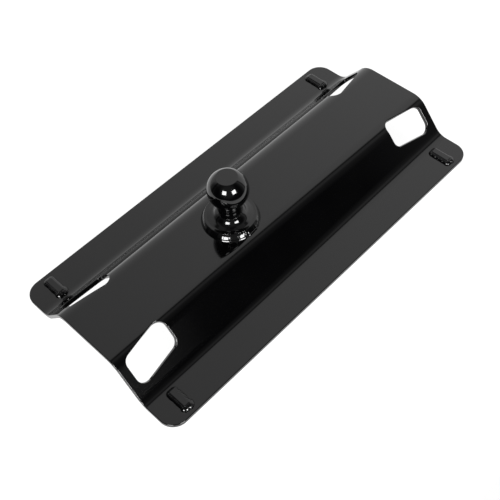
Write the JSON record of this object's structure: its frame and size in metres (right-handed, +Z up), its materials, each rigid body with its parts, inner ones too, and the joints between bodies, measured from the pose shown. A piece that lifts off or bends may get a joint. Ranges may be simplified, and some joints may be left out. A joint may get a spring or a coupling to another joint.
{
  "type": "gooseneck hitch ball on a rail mount",
  "caption": "Formed steel plate with a welded 2-5/16 in gooseneck ball, corner windows and pinned tabs that drop into fifth-wheel bed rails.",
  "frame": {"origin": "under the middle of the plate, level with the lower ends of the rail tabs", "axes": "+X along the plate, towards the truck's cab; +Y to the truck's left; +Z up along the ball's axis"},
  "size_m": [0.635, 0.312, 0.189],
  "materials": {
    "plate_coat": "gloss black powder coat",
    "ball_coat": "gloss black powder coat over a turned forging",
    "tab_coat": "gloss black powder coat over sawn bar",
    "weld_coat": "gloss black powder coat over weld beads",
    "zinc_plate": "bright zinc plating"
  },
  "bodies": {
    "root": {"base_plate": "plate_coat", "hitch_ball": "ball_coat", "ball_weld": "weld_coat", "backing_plate": "plate_coat", "backing_plate_weld": "weld_coat", "lock_washer": "zinc_plate", "ball_nut": "zinc_plate", "rail_tab_front_left": "tab_coat", "tab_weld_top_front_left": "weld_coat", "tab_weld_bottom_front_left": "weld_coat", "rail_tab_front_right": "tab_coat", "tab_weld_top_front_right": "weld_coat", "tab_weld_bottom_front_right": "weld_coat", "rail_tab_rear_left": "tab_coat", "tab_weld_top_rear_left": "weld_coat", "tab_weld_bottom_rear_left": "weld_coat", "rail_tab_rear_right": "tab_coat", "tab_weld_top_rear_right": "weld_coat", "tab_weld_bottom_rear_right": "weld_coat"}
  },
  "joints": []
}
